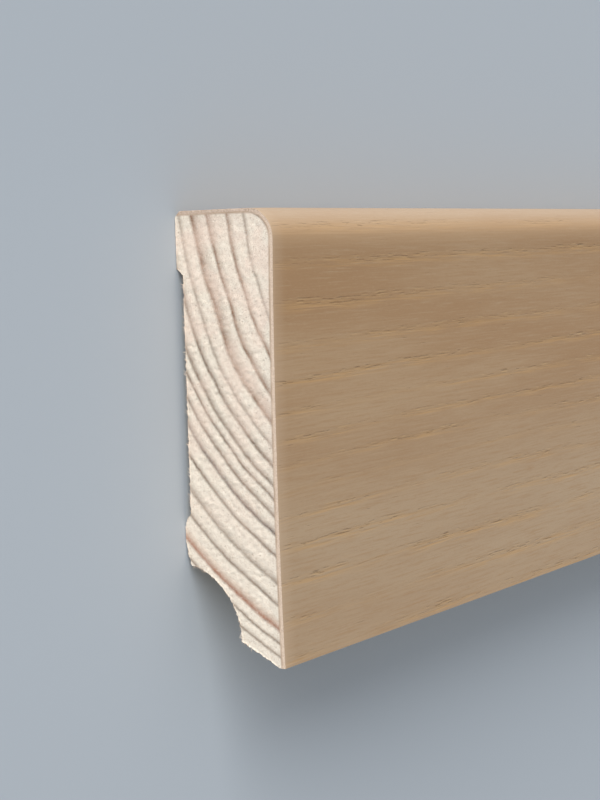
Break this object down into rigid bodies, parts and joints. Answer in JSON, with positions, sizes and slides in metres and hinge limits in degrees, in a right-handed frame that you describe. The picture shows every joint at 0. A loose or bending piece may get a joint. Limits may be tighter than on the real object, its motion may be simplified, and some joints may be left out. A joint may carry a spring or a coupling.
{
  "type": "skirting board length",
  "caption": "Straight length of veneered softwood skirting board with a rounded top edge, a relieved back and a cable hollow behind an undercut toe.",
  "frame": {"origin": "middle of the wall plane, which is the underside of the board as it lies on its back", "axes": "+X along the length, +Y from the floor edge to the top edge, +Z from the wall side to the decorative front"},
  "size_m": [2.4, 0.06, 0.016],
  "materials": {
    "softwood": "bare milled softwood, sawn ends",
    "veneer": "open-pored straight-grained veneer with satin lacquer"
  },
  "bodies": {
    "root": {"softwood_core": "softwood", "face_veneer": "veneer"}
  },
  "joints": []
}
